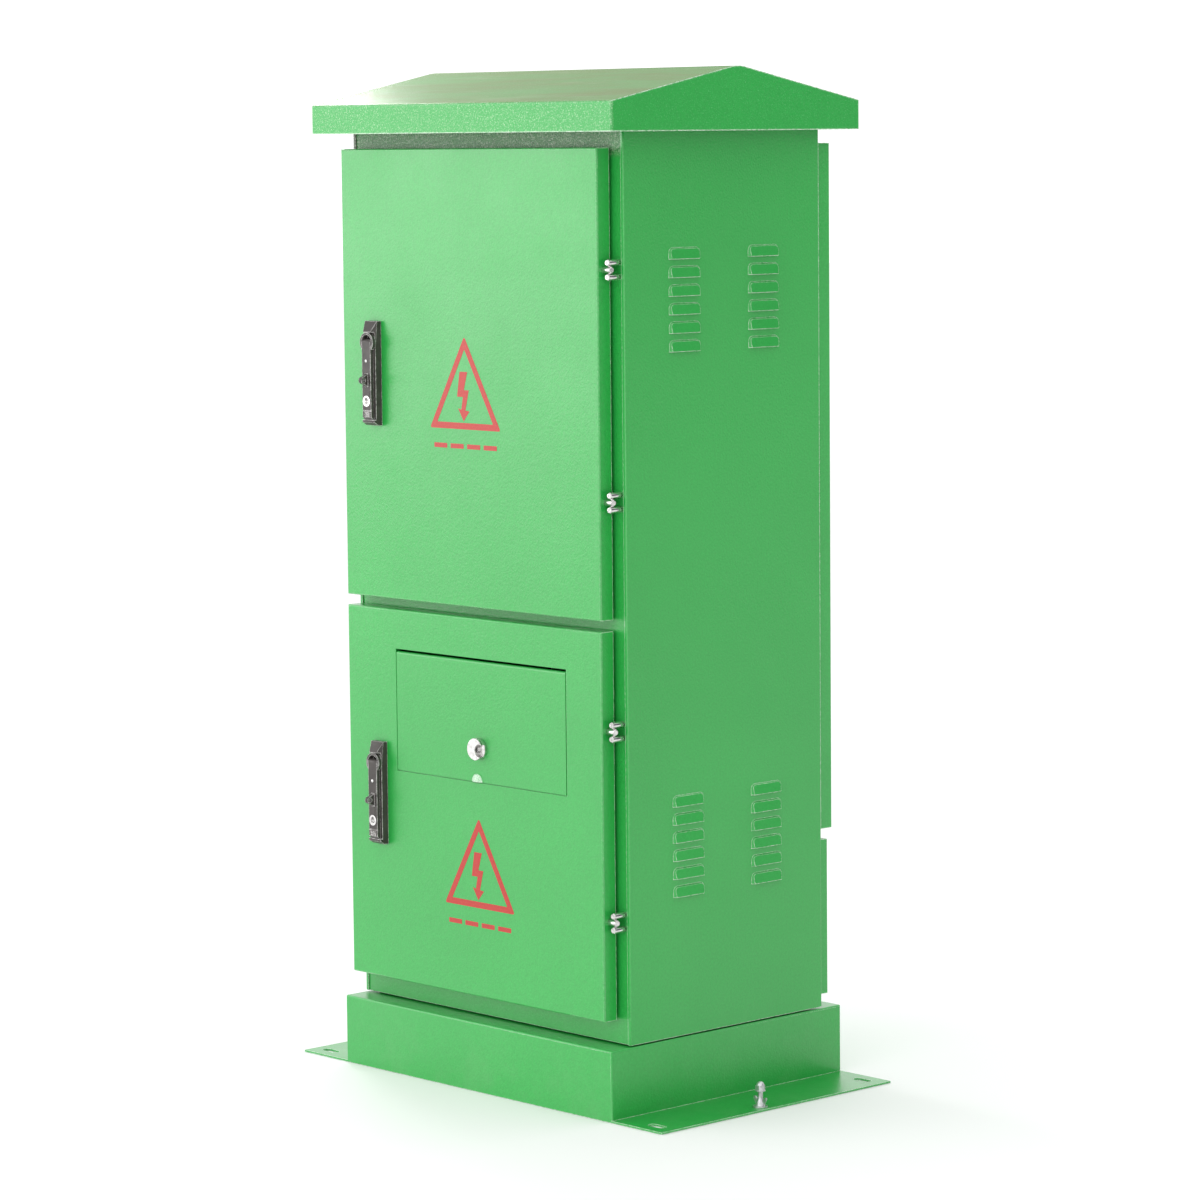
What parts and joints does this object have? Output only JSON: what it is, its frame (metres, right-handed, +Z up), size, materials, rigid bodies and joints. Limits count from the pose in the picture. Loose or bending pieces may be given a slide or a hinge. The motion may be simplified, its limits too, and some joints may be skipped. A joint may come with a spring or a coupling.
{
  "type": "pad-mounted power cabinet with transformer",
  "caption": "Slim outdoor steel power cabinet on a flanged plinth, with stacked hinged doors, louvred sides, a gable roof and a dry transformer under its switchgear.",
  "frame": {"origin": "middle of the footprint, on the ground under the plinth", "axes": "+X to the right seen from the front, +Y to the back, +Z up; the two stacked doors face -Y"},
  "size_m": [0.81, 0.5145, 1.5268],
  "materials": {
    "green_paint": "semi-gloss powder coat with a fine orange peel",
    "door_paint": "semi-gloss powder coat with a fine orange peel",
    "roof_paint": "semi-gloss powder coat",
    "chrome": "polished die casting",
    "black_handle": "satin black",
    "zinc_steel": "zinc-plated sheet and fasteners",
    "foam": "closed-cell foam",
    "gland_plastic": "moulded polyamide",
    "breaker_plastic": "moulded case",
    "toggle_plastic": "glossy moulding",
    "copper": "tinned edge, bare copper bar",
    "brass": "machined",
    "insulator": "glass-filled moulding",
    "core_steel": "varnished laminations",
    "coil_resin": "cast resin",
    "terminal_plastic": "moulded"
  },
  "bodies": {
    "cabinet": {"plinth": "green_paint", "plinth_gasket": "foam", "case_fasteners": "zinc_steel", "earth_stud": "zinc_steel", "right_side_panel": "green_paint", "left_side_panel": "green_paint", "front_frame": "green_paint", "rear_frame": "green_paint", "rear_lower_cover": "door_paint", "floor_plate": "zinc_steel", "cable_glands": "gland_plastic", "divider_shelf": "zinc_steel", "roof_cap": "roof_paint", "top_plate": "green_paint", "hinge_brackets": "chrome", "hinge_pins": "chrome", "mounting_plate": "zinc_steel", "main_breaker": "breaker_plastic", "branch_breakers": "breaker_plastic", "busbars": "copper", "insulators": "insulator", "neutral_and_earth_bars": "brass", "riser_bars": "copper", "transformer_core": "core_steel", "transformer_coils": "coil_resin", "transformer_clamps": "zinc_steel", "terminal_block": "terminal_plastic"},
    "upper_door": {"upper_front_door": "door_paint", "upper_door_seal": "foam", "upper_door_barrels": "chrome", "upper_handle_housing": "black_handle"},
    "lower_door": {"lower_front_door": "door_paint", "lower_door_seal": "foam", "lower_door_barrels": "chrome", "lower_handle_housing": "black_handle", "flap_frame": "green_paint", "flap_hinge_pin": "zinc_steel"},
    "rear_door_body": {"rear_door": "door_paint", "rear_door_seal": "foam", "rear_door_barrels": "chrome", "rear_latch_housing": "chrome"},
    "flap": {"inspection_flap": "door_paint", "flap_lock_housing": "chrome"},
    "flap_lock": {"flap_lock_cam": "chrome"},
    "rear_latch": {"rear_latch_cam": "zinc_steel"},
    "main_switch": {"main_toggle": "toggle_plastic"},
    "branch_switch_1": {"branch_toggle_1": "toggle_plastic"},
    "branch_switch_2": {"branch_toggle_2": "toggle_plastic"},
    "branch_switch_3": {"branch_toggle_3": "toggle_plastic"},
    "upper_spindle": {"upper_handle_spindle": "black_handle"},
    "upper_lever": {"upper_handle_lever": "black_handle"},
    "upper_key": {"upper_key_plug": "chrome"},
    "upper_rod_up": {"upper_door_top_rod": "zinc_steel"},
    "upper_rod_down": {"upper_door_bottom_rod": "zinc_steel"},
    "lower_spindle": {"lower_handle_spindle": "black_handle"},
    "lower_lever": {"lower_handle_lever": "black_handle"},
    "lower_key": {"lower_key_plug": "chrome"},
    "lower_rod_up": {"lower_door_top_rod": "zinc_steel"},
    "lower_rod_down": {"lower_door_bottom_rod": "zinc_steel"}
  },
  "joints": [
    {"name": "upper_door_hinge", "type": "hinge", "parent": "cabinet", "child": "upper_door", "pos_m": [0.287, -0.216, 1.0696], "axis": [0, 0, 1], "range_deg": [0, 120]},
    {"name": "lower_door_hinge", "type": "hinge", "parent": "cabinet", "child": "lower_door", "pos_m": [0.287, -0.216, 0.4297], "axis": [0, 0, 1], "range_deg": [0, 120]},
    {"name": "rear_door_hinge", "type": "hinge", "parent": "cabinet", "child": "rear_door_body", "pos_m": [-0.287, 0.216, 0.897], "axis": [0, 0, 1], "range_deg": [0, 120]},
    {"name": "flap_hinge", "type": "hinge", "parent": "lower_door", "child": "flap", "pos_m": [0.0085, -0.225, 0.6475], "axis": [-1, 0, 0], "range_deg": [0, 100]},
    {"name": "flap_lock_turn", "type": "hinge", "parent": "flap", "child": "flap_lock", "pos_m": [0.008, -0.229, 0.52], "axis": [0, 1, 0], "range_deg": [0, 90]},
    {"name": "rear_latch_turn", "type": "hinge", "parent": "rear_door_body", "child": "rear_latch", "pos_m": [0.245, 0.21, 0.897], "axis": [0, -1, 0], "range_deg": [0, 90]},
    {"name": "main_switch_tilt", "type": "hinge", "parent": "cabinet", "child": "main_switch", "pos_m": [0, -0.02, 1.215], "axis": [1, 0, 0], "range_deg": [-30, 30]},
    {"name": "branch_switch_1_tilt", "type": "hinge", "parent": "cabinet", "child": "branch_switch_1", "pos_m": [-0.11, -0.003, 0.915], "axis": [1, 0, 0], "range_deg": [-30, 30]},
    {"name": "branch_switch_2_tilt", "type": "hinge", "parent": "cabinet", "child": "branch_switch_2", "pos_m": [0, -0.003, 0.915], "axis": [1, 0, 0], "range_deg": [-30, 30]},
    {"name": "branch_switch_3_tilt", "type": "hinge", "parent": "cabinet", "child": "branch_switch_3", "pos_m": [0.11, -0.003, 0.915], "axis": [1, 0, 0], "range_deg": [-30, 30]},
    {"name": "upper_handle_turn", "type": "hinge", "parent": "upper_door", "child": "upper_spindle", "pos_m": [-0.22, -0.235, 1.12], "axis": [0, -1, 0], "range_deg": [0, 90]},
    {"name": "upper_lever_lift", "type": "hinge", "parent": "upper_spindle", "child": "upper_lever", "pos_m": [-0.22, -0.2424, 1.12], "axis": [-1, 0, 0], "range_deg": [0, 40]},
    {"name": "upper_key_turn", "type": "hinge", "parent": "upper_lever", "child": "upper_key", "pos_m": [-0.22, -0.245, 1.031], "axis": [0, -1, 0], "range_deg": [0, 90]},
    {"name": "upper_top_rod_slide", "type": "slide", "parent": "upper_door", "child": "upper_rod_up", "axis": [0, 0, -1], "range_m": [0, 0.0185]},
    {"name": "upper_bottom_rod_slide", "type": "slide", "parent": "upper_door", "child": "upper_rod_down", "axis": [0, 0, 1], "range_m": [0, 0.0185]},
    {"name": "lower_handle_turn", "type": "hinge", "parent": "lower_door", "child": "lower_spindle", "pos_m": [-0.22, -0.235, 0.478], "axis": [0, -1, 0], "range_deg": [0, 90]},
    {"name": "lower_lever_lift", "type": "hinge", "parent": "lower_spindle", "child": "lower_lever", "pos_m": [-0.22, -0.2424, 0.478], "axis": [-1, 0, 0], "range_deg": [0, 40]},
    {"name": "lower_key_turn", "type": "hinge", "parent": "lower_lever", "child": "lower_key", "pos_m": [-0.22, -0.245, 0.389], "axis": [0, -1, 0], "range_deg": [0, 90]},
    {"name": "lower_top_rod_slide", "type": "slide", "parent": "lower_door", "child": "lower_rod_up", "axis": [0, 0, -1], "range_m": [0, 0.0185]},
    {"name": "lower_bottom_rod_slide", "type": "slide", "parent": "lower_door", "child": "lower_rod_down", "axis": [0, 0, 1], "range_m": [0, 0.0185]}
  ],
  "couplings": [
    {"joint": "upper_top_rod_slide", "follows": "upper_handle_turn", "m_per_rad": 0.011704},
    {"joint": "upper_bottom_rod_slide", "follows": "upper_handle_turn", "m_per_rad": 0.011704},
    {"joint": "lower_top_rod_slide", "follows": "lower_handle_turn", "m_per_rad": 0.011704},
    {"joint": "lower_bottom_rod_slide", "follows": "lower_handle_turn", "m_per_rad": 0.011704}
  ]
}
